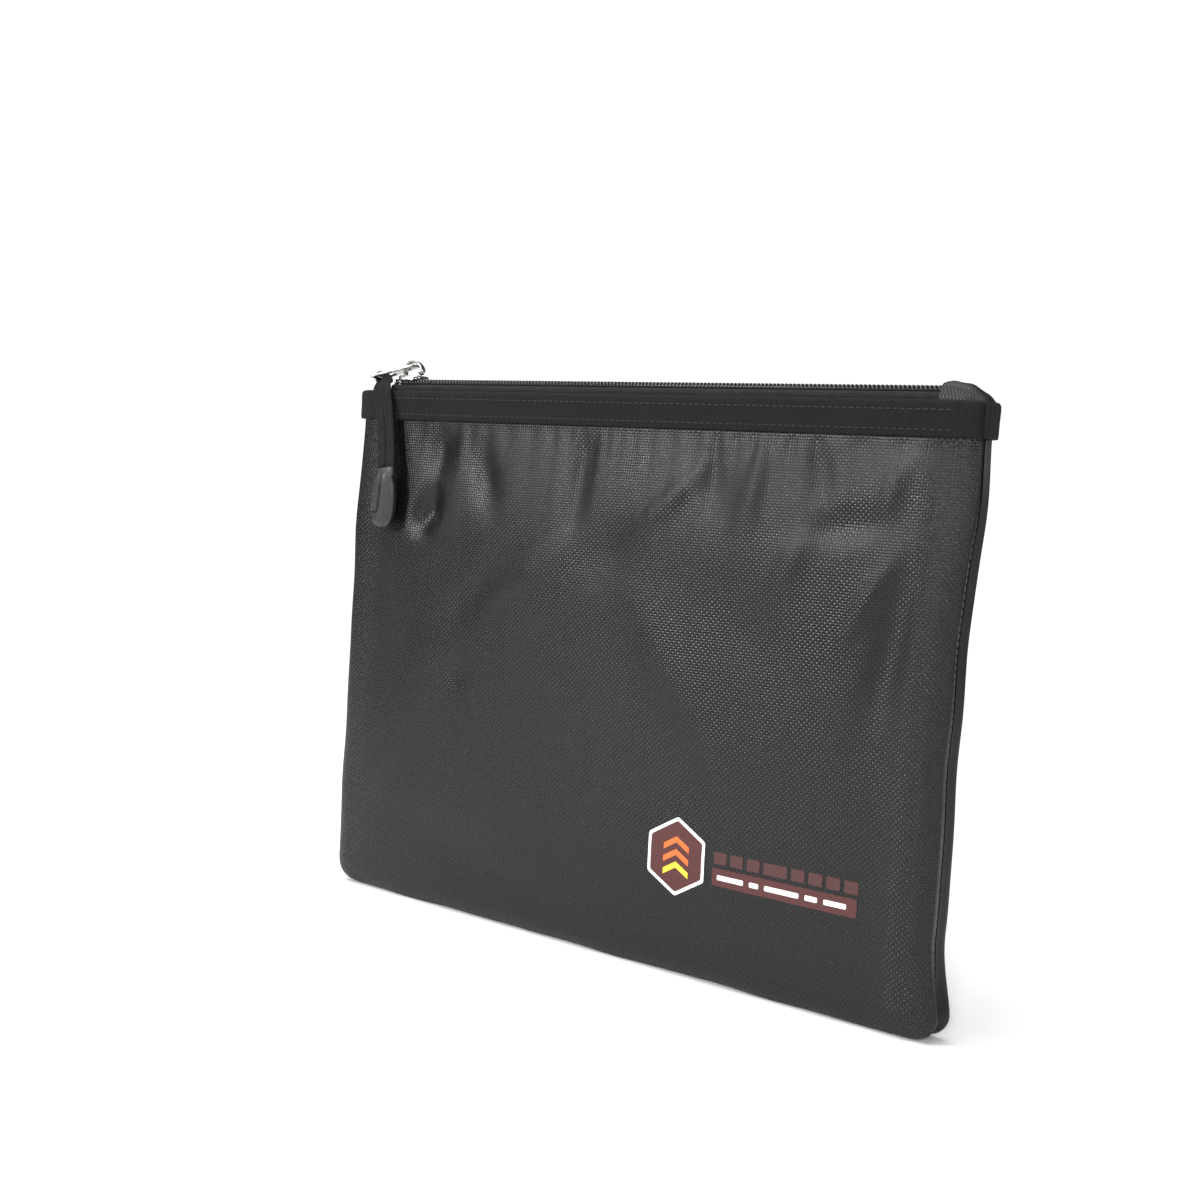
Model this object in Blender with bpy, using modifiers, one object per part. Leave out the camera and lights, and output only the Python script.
"""Zip-top fire-resistant pouch for lithium batteries, standing on its bottom edge.

+X runs along the zip towards its closed end, -Y is the printed front and +Z is up.
The origin is at floor level, in the middle of the bounding box.  Every solid hangs
from an empty on the seam plane, where the front and back halves of the pouch meet.
"""

import math

import bmesh
import bpy
from mathutils import Matrix, Vector

# Driving dimensions, in metres.
WIDTH = 0.270
SEAM_Y = 0.0028
GAP = 0.0003
FRONT = -1.0
BACK = 1.0

# Fabric walls: each half is a shallow tray whose open side is the seam plane.
PANEL_TOP = 0.1945
PANEL_THICKNESS = 0.0008
CORE_THICKNESS = 0.0012
LINING_THICKNESS = 0.0004
EDGE_DEPTH = 0.0066
MOUTH_DEPTH = 0.0052
BELLY = 0.0024
CORNER_RADIUS = 0.009
RIM_RADIUS = 0.0032
LEVEL_TOP = 0.183
TAPER_START = 0.140
FLAT_COLUMNS = 8
FLAT_ROWS = 7
ARC_STEPS = 4
RIM_LINES = ARC_STEPS + 2

# Binding webbing round the mouth.
BINDING_LOW = 0.1845
BINDING_HIGH = 0.195
BINDING_THICKNESS = 0.001
THREAD_RADIUS = 0.00025
STITCH_INSET = 0.002

# Zip: two tapes, two rows of coil, stops, slider and cover.
TAPE_THICKNESS = 0.0006
TAPE_LEFT = -0.1195
ZIP_RIGHT = 0.1218
COIL_RADIUS = 0.0009
COIL_Y = 0.00205
COIL_Z = 0.1994
COIL_LEFT = -0.1155
SLIDER_LEFT = -0.1168
SLIDER_RIGHT = -0.1062
SLIDER_HALF_WIDTH = 0.0045
PLATE_LOW = 0.2007
PLATE_HIGH = 0.2018
CROWN_X = 0.5 * (SLIDER_LEFT + SLIDER_RIGHT)
CROWN_TOP = 0.2077
CROWN_STRIP = 0.0009
CROWN_HALF_WIDTH = 0.001

# Pull tab, strap and grip.
TAB_AXIS_Z = 0.2056
TAB_SLOPE = math.radians(14.5)
TAB_YAW = math.radians(8.0)
TAB_LENGTH = 0.0176
TAB_THICKNESS = 0.001
STRAP_WIDTH = 0.0044
STRAP_THICKNESS = 0.0011
GRIP_CENTRE = Vector((-0.112, -0.0121, 0.1535))
GRIP_SIZE = Vector((0.0125, 0.005, 0.022))

# Printed marks on the front wall: low and high corners in X and Z.
BADGE_AREA = (0.0245, 0.0485, 0.0285, 0.0545)
BAND_AREA = (0.0515, 0.1065, 0.0340, 0.0400)


def clear_scene():
    """Remove every object that the scene starts with."""
    for item in list(bpy.data.objects):
        bpy.data.objects.remove(item, do_unlink=True)


def new_collection(name):
    collection = bpy.data.collections.new(name)
    bpy.context.scene.collection.children.link(collection)
    return collection


def new_material(name, colour, roughness, metallic=0.0):
    """A Principled material with one colour, roughness and metallic value."""
    material = bpy.data.materials.new(name)
    material.use_nodes = True
    shader = material.node_tree.nodes["Principled BSDF"]
    shader.inputs["Base Color"].default_value = (*colour, 1.0)
    shader.inputs["Roughness"].default_value = roughness
    shader.inputs["Metallic"].default_value = metallic
    return material


clear_scene()
PARTS = new_collection("battery_pouch")
CUTTERS = new_collection("cutters")

COATED_CLOTH = new_material("coated_glass_cloth", (0.030, 0.030, 0.031), 0.45)
FELT = new_material("white_glass_felt", (0.55, 0.54, 0.50), 0.95)
LINING = new_material("silver_lining_cloth", (0.42, 0.43, 0.44), 0.5)
WEBBING = new_material("black_webbing", (0.018, 0.018, 0.018), 0.85)
THREAD = new_material("black_thread", (0.015, 0.015, 0.015), 0.7)
NYLON = new_material("black_nylon_coil", (0.020, 0.020, 0.021), 0.4)
NICKEL = new_material("nickel_plated_zinc", (0.72, 0.72, 0.71), 0.25, 1.0)
RUBBER = new_material("grey_soft_rubber", (0.055, 0.055, 0.056), 0.55)
RED_PRINT = new_material("dark_red_print", (0.13, 0.025, 0.025), 0.6)


def new_empty(name, location, parent=None):
    """An empty at a place on the parent, used as a joint or a frame."""
    empty = bpy.data.objects.new(name, None)
    PARTS.objects.link(empty)
    empty.location = location
    empty.parent = parent
    return empty


SEAM_FRAME = new_empty("seam_frame", (0.0, SEAM_Y, 0.0))


def place(item, material, parent, location=(0.0, 0.0, 0.0)):
    """Give an object its material and hang it from the parent at a seam-frame place."""
    item.data.materials.append(material)
    item.parent = parent
    offset = parent.location if parent is not SEAM_FRAME else Vector()
    item.location = Vector(location) - offset
    return item


def object_from_bmesh(name, bm, collection=PARTS):
    mesh = bpy.data.meshes.new(name)
    bm.to_mesh(mesh)
    bm.free()
    item = bpy.data.objects.new(name, mesh)
    collection.objects.link(item)
    return item


def smooth(item, angle=math.radians(35.0)):
    """Shade the object smooth, with sharp edges past the angle."""
    item.data.shade_smooth()
    item.data.set_sharp_from_angle(angle=angle)


def solidify(item, thickness):
    """Give an open surface its wall, inwards from the surface."""
    wall = item.modifiers.new("wall", "SOLIDIFY")
    wall.thickness = thickness
    wall.offset = -1.0
    wall.use_even_offset = True


def grid_surface(name, columns, rows, place_of):
    """A grid whose points go where place_of(u, v) says, with u and v from -1 to 1."""
    bm = bmesh.new()
    bmesh.ops.create_grid(bm, x_segments=columns, y_segments=rows, size=1.0)
    for vert in bm.verts:
        vert.co = place_of(vert.co.x, vert.co.y)
    bmesh.ops.remove_doubles(bm, verts=bm.verts, dist=0.00001)
    bmesh.ops.recalc_face_normals(bm, faces=bm.faces)
    return object_from_bmesh(name, bm)


def face_outwards(item, side):
    """Turn an open wall's faces so that most of them look away from the seam plane."""
    bm = bmesh.new()
    bm.from_mesh(item.data)
    if sum(face.normal.y * face.calc_area() for face in bm.faces) * side < 0.0:
        bmesh.ops.reverse_faces(bm, faces=bm.faces)
    bm.to_mesh(item.data)
    bm.free()


def clamp(value):
    return min(max(value, 0.0), 1.0)


def smoothstep(value):
    value = clamp(value)
    return value * value * (3.0 - 2.0 * value)


def wall_depth(x, z):
    """Distance from the seam plane to the outer face of a wall: flat, with a low belly."""
    taper = smoothstep((z - TAPER_START) / (LEVEL_TOP - TAPER_START))
    depth = EDGE_DEPTH + (MOUTH_DEPTH - EDGE_DEPTH) * taper
    across = 1.0 - min(abs(2.0 * x / WIDTH), 1.0) ** 4
    up = 1.0 - min(abs(2.0 * z / LEVEL_TOP - 1.0), 1.0) ** 4
    return depth + BELLY * across * up


def rim_steps(step, flat_steps):
    """Where a grid line lies past the flat face, counted in grid steps.

    One step crosses the corner zone, ARC_STEPS follow the rim's arc and one runs
    straight to the seam.  Returns the distance into the corner zone, in metres, and
    how far down the straight strip the line lies, from 0 to 1.
    """
    past = step - flat_steps
    angle = clamp((past - 1.0) / ARC_STEPS) * math.pi / 2.0
    corner = clamp(past) * (CORNER_RADIUS - RIM_RADIUS) + RIM_RADIUS * math.sin(angle)
    return corner, clamp(past - 1.0 - ARC_STEPS)


def tray_point(side, u, v, grow, low, high, has_bottom):
    """A point of a tray-shaped wall, grown outwards by a distance.

    Across, u runs from one side seam to the other.  Down, v runs from the open top to
    the bottom seam.  In the corners the square grid is drawn onto a quarter disc.
    """
    radius = CORNER_RADIUS + grow
    rim = RIM_RADIUS + grow
    across = abs(u) * (FLAT_COLUMNS / 2 + RIM_LINES)
    x = clamp(across / (FLAT_COLUMNS / 2)) * (WIDTH / 2.0 - CORNER_RADIUS)
    corner_x, strip_x = rim_steps(across, FLAT_COLUMNS / 2)
    corner_z, strip_z = 0.0, 0.0
    down = (1.0 - v) / 2.0
    if has_bottom:
        down *= 1 + FLAT_ROWS + RIM_LINES
        z = high + (LEVEL_TOP - high) * clamp(down)
        z += (CORNER_RADIUS - LEVEL_TOP) * clamp((down - 1.0) / FLAT_ROWS)
        corner_z, strip_z = rim_steps(down, 1 + FLAT_ROWS)
    else:
        z = high + (low - high) * down
    reach = max(corner_x, corner_z) * radius / CORNER_RADIUS
    if reach > 0.0:
        length = math.hypot(corner_x, corner_z)
        x += reach * corner_x / length
        z -= reach * corner_z / length
    x *= math.copysign(1.0, u)
    depth = wall_depth(x, z) + grow
    edge = max(radius - reach, 0.0)
    if edge < rim:
        depth -= rim - math.sqrt(max(rim * rim - (rim - edge) ** 2, 0.0))
    depth += (GAP - depth) * max(strip_x, strip_z)
    return Vector((x, side * depth, z))


def tray_wall(name, side, material, grow=0.0, thickness=PANEL_THICKNESS, low=0.0,
              high=PANEL_TOP, has_bottom=True):
    """A wall of one half of the pouch, from a bent grid and Solidify."""
    columns = FLAT_COLUMNS + 2 * RIM_LINES
    rows = 1 + FLAT_ROWS + RIM_LINES if has_bottom else 1
    item = grid_surface(
        name, columns, rows,
        lambda u, v: tray_point(side, u, v, grow, low, high, has_bottom))
    face_outwards(item, side)
    solidify(item, thickness)
    smooth(item)
    return place(item, material, SEAM_FRAME)


def wall_patch(name, side, area, grow, thickness, material, columns, rows):
    """A thin layer that follows a wall over a rectangle of its face."""
    left, right, low, high = area

    def patch_point(u, v):
        x = left + (right - left) * (u + 1.0) / 2.0
        z = low + (high - low) * (v + 1.0) / 2.0
        return Vector((x, side * (wall_depth(x, z) + grow), z))

    item = grid_surface(name, columns, rows, patch_point)
    face_outwards(item, side)
    solidify(item, thickness)
    smooth(item)
    return place(item, material, SEAM_FRAME)


def section_strip(name, side, section, left, right, thickness, material):
    """A strip that carries one open section, points of depth and height, along X."""
    count = len(section) - 1

    def strip_point(u, v):
        depth, z = section[round((v + 1.0) / 2.0 * count)]
        return Vector((left + (right - left) * (u + 1.0) / 2.0, side * depth, z))

    item = grid_surface(name, 6, count, strip_point)
    face_outwards(item, side)
    solidify(item, thickness)
    smooth(item)
    return place(item, material, SEAM_FRAME)


def rod(name, start, end, radius, material, sides=8, parent=SEAM_FRAME):
    """A straight round rod between two points of the seam frame."""
    start, end = Vector(start), Vector(end)
    bm = bmesh.new()
    bmesh.ops.create_cone(bm, cap_ends=True, segments=sides, radius1=radius,
                          radius2=radius, depth=(end - start).length)
    turn = Vector((0.0, 0.0, 1.0)).rotation_difference(end - start)
    bmesh.ops.transform(bm, matrix=turn.to_matrix().to_4x4(), verts=bm.verts)
    item = object_from_bmesh(name, bm)
    smooth(item)
    return place(item, material, parent, (start + end) / 2.0)


def block(name, low, high, material, bevel=0.0, parent=SEAM_FRAME, collection=PARTS):
    """A box between two corners, with rounded edges when bevel is set."""
    low, high = Vector(low), Vector(high)
    bm = bmesh.new()
    bmesh.ops.create_cube(bm, size=1.0)
    bmesh.ops.scale(bm, vec=high - low, verts=bm.verts)
    item = object_from_bmesh(name, bm, collection)
    if bevel > 0.0:
        rounding = item.modifiers.new("rounding", "BEVEL")
        rounding.width = bevel
        rounding.segments = 2
        rounding.limit_method = "NONE"
    smooth(item)
    return place(item, material, parent, (low + high) / 2.0)


def flat_plate(name, outlines, thickness, material, parent, matrix, bevel=0.0):
    """A flat plate from closed outlines in its own XY plane: the first, less the rest."""
    curve = bpy.data.curves.new(name, "CURVE")
    curve.dimensions = "2D"
    curve.fill_mode = "BOTH"
    curve.extrude = thickness / 2.0 - bevel
    curve.bevel_depth = bevel
    curve.bevel_resolution = 1
    curve.offset = -bevel
    for outline in outlines:
        spline = curve.splines.new("POLY")
        spline.points.add(len(outline) - 1)
        for point, (x, y) in zip(spline.points, outline):
            point.co = (x, y, 0.0, 1.0)
        spline.use_cyclic_u = True
    item = bpy.data.objects.new(name, curve)
    PARTS.objects.link(item)
    curve.materials.append(material)
    item.parent = parent
    item.matrix_local = matrix
    return item


def join_blocks(target, others):
    """Weld hidden blocks into the target with exact unions."""
    for number, other in enumerate(others):
        other.hide_render = True
        other.display_type = "WIRE"
        union = target.modifiers.new(f"union_{number}", "BOOLEAN")
        union.operation = "UNION"
        union.solver = "EXACT"
        union.object = other


def half_walls(side, word):
    """Outer cloth, felt core and lining of one half, one inside the other."""
    tray_wall(f"{word}_panel", side, COATED_CLOTH)
    inset = WIDTH / 2.0 - CORNER_RADIUS
    area = (-inset, inset, CORNER_RADIUS, LEVEL_TOP)
    core_grow = -(PANEL_THICKNESS + GAP)
    wall_patch(f"{word}_felt_core", side, area, core_grow, CORE_THICKNESS, FELT,
               FLAT_COLUMNS, FLAT_ROWS)
    lining_grow = core_grow - CORE_THICKNESS - GAP
    wall_patch(f"{word}_lining", side, area, lining_grow, LINING_THICKNESS, LINING,
               FLAT_COLUMNS, FLAT_ROWS)


def half_mouth(side, word):
    """Binding with its two stitch rows, zip tape, coil row and top stop of one half."""
    grow = GAP + BINDING_THICKNESS
    tray_wall(f"{word}_binding", side, WEBBING, grow, BINDING_THICKNESS,
              BINDING_LOW, BINDING_HIGH, has_bottom=False)
    stitch_y = side * (MOUTH_DEPTH + grow + GAP + THREAD_RADIUS)
    reach = WIDTH / 2.0 - CORNER_RADIUS
    rows = (("upper", BINDING_HIGH - STITCH_INSET), ("lower", BINDING_LOW + STITCH_INSET))
    for row, z in rows:
        rod(f"{word}_{row}_stitching", (-reach, stitch_y, z), (reach, stitch_y, z),
            THREAD_RADIUS, THREAD, sides=6)
    inner = MOUTH_DEPTH - PANEL_THICKNESS - GAP
    section = ((inner, 0.1862), (inner, 0.1925), (inner + 0.0002, 0.1955),
               (inner + 0.0001, 0.1975),
               (COIL_Y + COIL_RADIUS + GAP + TAPE_THICKNESS, 0.1990))
    section_strip(f"{word}_zip_tape", side, section, TAPE_LEFT, ZIP_RIGHT,
                  TAPE_THICKNESS, WEBBING)
    coil_y = side * COIL_Y
    rod(f"{word}_coil", (COIL_LEFT, coil_y, COIL_Z), (ZIP_RIGHT - 0.0019, coil_y, COIL_Z),
        COIL_RADIUS, NYLON)
    stop_y = sorted((side * 0.0011, side * 0.0029))
    block(f"{word}_top_stop", (TAPE_LEFT + 0.0004, stop_y[0], 0.1983),
          (SLIDER_LEFT - 0.0005, stop_y[1], 0.2003), NICKEL, 0.0003)


def zip_ends():
    """Bottom stop, folded end cover and the lapped end of the binding."""
    block("zip_bottom_stop", (ZIP_RIGHT - 0.0016, -0.0028, 0.1980),
          (ZIP_RIGHT, 0.0028, 0.2006), NICKEL, 0.0004)
    cover = block("zip_end_cover", (ZIP_RIGHT + GAP, -0.0049, BINDING_HIGH + GAP),
                  (WIDTH / 2.0, 0.0049, 0.2028), WEBBING, 0.0016)
    for vert in cover.data.vertices:
        if vert.co.x > 0.0 and vert.co.z > 0.0:
            vert.co.z -= 0.0022
    side_x = WIDTH / 2.0 + 2.0 * GAP + BINDING_THICKNESS
    block("binding_end_tab", (side_x, -0.0045, BINDING_LOW - 0.0002),
          (side_x + 0.0014, -GAP, BINDING_HIGH + 0.0002), WEBBING, 0.0004)


def side_stitching():
    """The thread that shows along each side seam, just in front of the seam plane."""
    x = WIDTH / 2.0 + GAP + THREAD_RADIUS
    for word, sign in (("left", -1.0), ("right", 1.0)):
        rod(f"{word}_seam_stitching", (sign * x, -0.0016, CORNER_RADIUS + 0.002),
            (sign * x, -0.0016, BINDING_LOW - 0.001), THREAD_RADIUS, THREAD, sides=6)


def slider_parts(joint):
    """Slider: two plates joined by a nose post, with side flanges and a crown arch."""
    wide = SLIDER_HALF_WIDTH
    body = block("slider_body", (SLIDER_LEFT, -wide, PLATE_LOW),
                 (SLIDER_RIGHT, wide, PLATE_HIGH), NICKEL, 0.0, joint)
    blocks = []
    for side in (FRONT, BACK):
        y = sorted((side * (wide - 0.0006), side * wide))
        blocks.append(block("flange_tool", (SLIDER_LEFT, y[0], 0.1999),
                            (SLIDER_RIGHT, y[1], PLATE_LOW + 0.0004), NICKEL, 0.0,
                            joint, CUTTERS))
    blocks.append(block("post_tool", (SLIDER_LEFT + 0.0001, -0.0008, 0.1971),
                        (SLIDER_LEFT + 0.0011, 0.0008, PLATE_LOW + 0.0004), NICKEL, 0.0,
                        joint, CUTTERS))
    blocks.append(block("lower_plate_tool", (SLIDER_LEFT, -0.0026, 0.1967),
                        (SLIDER_RIGHT, 0.0026, 0.1979), NICKEL, 0.0, joint, CUTTERS))
    join_blocks(body, blocks)

    outer = Vector(((SLIDER_RIGHT - SLIDER_LEFT) / 2.0 - GAP, CROWN_TOP - PLATE_HIGH - GAP))
    steps = 12
    angles = [math.pi * step / steps for step in range(steps + 1)]
    arch = [(outer.x * math.cos(a), outer.y * math.sin(a)) for a in angles]
    inner = outer - Vector((CROWN_STRIP, CROWN_STRIP))
    arch += [(inner.x * math.cos(a), inner.y * math.sin(a)) for a in reversed(angles)]
    upright = Matrix.Rotation(math.pi / 2.0, 4, "X")
    foot = Vector((CROWN_X, 0.0, PLATE_HIGH + GAP)) - joint.location
    flat_plate("slider_crown", [arch], 2.0 * CROWN_HALF_WIDTH, NICKEL, joint,
               Matrix.Translation(foot) @ upright)


def tab_frame(offset=Vector()):
    """Turn and place of the pull tab: -X of its own plane runs from the pin to the bar."""
    return (Matrix.Translation(offset) @ Matrix.Rotation(TAB_YAW, 4, "Z")
            @ Matrix.Rotation(-TAB_SLOPE, 4, "Y"))


def pull_tab(joint):
    """Stamped tab: a pin end with a slot for the crown, a window and an end bar."""
    outline = [(0.0006, -0.0029), (-0.0062, -0.0030), (-0.0095, -0.0040),
               (-0.0172, -0.0053), (-0.0184, -0.0045), (-0.0184, 0.0045),
               (-0.0172, 0.0053), (-0.0095, 0.0040), (-0.0062, 0.0030), (0.0006, 0.0029)]
    slot = [(-0.0006, -0.0017), (-0.0058, -0.0017), (-0.0058, 0.0017), (-0.0006, 0.0017)]
    window = [(-0.0100, -0.0016), (-0.0112, -0.0027), (-0.0168, -0.0039),
              (-0.0168, 0.0039), (-0.0112, 0.0027), (-0.0100, 0.0016)]
    flat_plate("pull_tab", [outline, slot, window], TAB_THICKNESS, NICKEL, joint,
               tab_frame())


def smooth_route(points, steps):
    """Catmull-Rom curve through the points, with steps samples between each pair."""
    padded = [2.0 * points[0] - points[1], *points, 2.0 * points[-1] - points[-2]]
    route = []
    for before, start, end, after in zip(padded, padded[1:], padded[2:], padded[3:]):
        for step in range(steps):
            t = step / steps
            route.append(0.5 * (2.0 * start + (end - before) * t
                                + (2.0 * before - 5.0 * start + 4.0 * end - after) * t * t
                                + (3.0 * start - before - 3.0 * end + after) * t ** 3))
    route.append(points[-1].copy())
    return route


# The strap's route in the seam frame, in millimetres, and the way its width points:
# from the grip up the outer strand, round the tab's bar and back down to the grip.
STRAP_ROUTE = (
    ((-114.3, -11.7, 165.3), (1.0, 0.0, 0.0)),
    ((-116.5, -10.2, 173.0), (1.0, 0.0, 0.0)),
    ((-118.6, -9.2, 182.0), (1.0, 0.0, 0.1)),
    ((-120.8, -8.7, 190.0), (1.0, 0.1, 0.2)),
    ((-122.6, -8.0, 195.7), (1.0, 0.3, 0.1)),
    ((-125.0, -5.4, 198.2), (0.8, 0.7, 0.0)),
    ((-127.5, -3.2, 199.2), (0.3, 1.0, 0.0)),
    ((-129.5, -2.4, 199.9), (0.0, 1.0, 0.0)),
    ((-130.3, -2.3, 201.3), (0.0, 1.0, 0.0)),
    ((-129.4, -2.3, 202.7), (0.0, 1.0, 0.0)),
    ((-127.6, -2.4, 202.8), (0.0, 1.0, 0.0)),
    ((-125.8, -2.7, 201.6), (0.1, 1.0, 0.0)),
    ((-123.4, -4.0, 199.9), (0.5, 0.9, 0.0)),
    ((-120.8, -6.4, 198.4), (0.9, 0.5, 0.0)),
    ((-118.0, -8.4, 195.4), (1.0, 0.2, 0.0)),
    ((-115.9, -8.9, 190.0), (1.0, 0.1, 0.1)),
    ((-113.9, -9.3, 182.0), (1.0, 0.0, 0.0)),
    ((-111.6, -10.3, 173.0), (1.0, 0.0, 0.0)),
    ((-109.7, -11.7, 165.3), (1.0, 0.0, 0.0)),
)
MILLIMETRE = 0.001
STRAP_STEPS = 3


def strap(joint):
    """Flat woven tape carried along its route, its section turned with the route."""
    route = smooth_route([Vector(point) * MILLIMETRE for point, _ in STRAP_ROUTE],
                         STRAP_STEPS)
    widths = smooth_route([Vector(width) for _, width in STRAP_ROUTE], STRAP_STEPS)
    bm = bmesh.new()
    rings = []
    for number, (centre, width) in enumerate(zip(route, widths)):
        ahead = route[min(number + 1, len(route) - 1)]
        behind = route[max(number - 1, 0)]
        tangent = (ahead - behind).normalized()
        across = (width - tangent * width.dot(tangent)).normalized()
        normal = tangent.cross(across)
        corners = ((-1.0, -1.0), (1.0, -1.0), (1.0, 1.0), (-1.0, 1.0))
        rings.append([bm.verts.new(centre - joint.location
                                   + across * a * STRAP_WIDTH / 2.0
                                   + normal * b * STRAP_THICKNESS / 2.0)
                      for a, b in corners])
    for ring, following in zip(rings, rings[1:]):
        for k in range(4):
            bm.faces.new((ring[k], ring[(k + 1) % 4], following[(k + 1) % 4],
                          following[k]))
    bm.faces.new(rings[0])
    bm.faces.new(reversed(rings[-1]))
    bmesh.ops.triangulate(bm, faces=bm.faces)
    bmesh.ops.recalc_face_normals(bm, faces=bm.faces)
    item = object_from_bmesh("pull_strap", bm)
    smooth(item)
    place(item, WEBBING, joint, joint.location)


def grip(joint):
    """Moulded grip: an oval plate with rounded edges that hangs from the strap."""
    power = 2.0 / 2.7
    count = 24
    outline = []
    for step in range(count):
        angle = 2.0 * math.pi * step / count
        c, s = math.cos(angle), math.sin(angle)
        outline.append((math.copysign(abs(c) ** power, c) * GRIP_SIZE.x / 2.0,
                        math.copysign(abs(s) ** power, s) * GRIP_SIZE.z / 2.0))
    upright = Matrix.Rotation(math.pi / 2.0, 4, "X")
    flat_plate("pull_grip", [outline], GRIP_SIZE.y, RUBBER, joint,
               Matrix.Translation(GRIP_CENTRE - joint.location) @ upright, 0.0012)


half_walls(FRONT, "front")
half_walls(BACK, "back")
half_mouth(FRONT, "front")
half_mouth(BACK, "back")
zip_ends()
side_stitching()
wall_patch("printed_badge", FRONT, BADGE_AREA, 2.0 * GAP, GAP, RED_PRINT, 4, 4)
wall_patch("printed_band", FRONT, BAND_AREA, 2.0 * GAP, GAP, RED_PRINT, 6, 2)

SLIDER_JOINT = new_empty("slider_joint", (CROWN_X, 0.0, COIL_Z), SEAM_FRAME)
TAB_JOINT = new_empty("tab_joint", (CROWN_X, 0.0, TAB_AXIS_Z), SEAM_FRAME)
BAR_CENTRE = tab_frame(TAB_JOINT.location) @ Vector((-TAB_LENGTH, 0.0, 0.0))
PULLER_JOINT = new_empty("puller_joint", BAR_CENTRE, SEAM_FRAME)
slider_parts(SLIDER_JOINT)
pull_tab(TAB_JOINT)
strap(PULLER_JOINT)
grip(PULLER_JOINT)
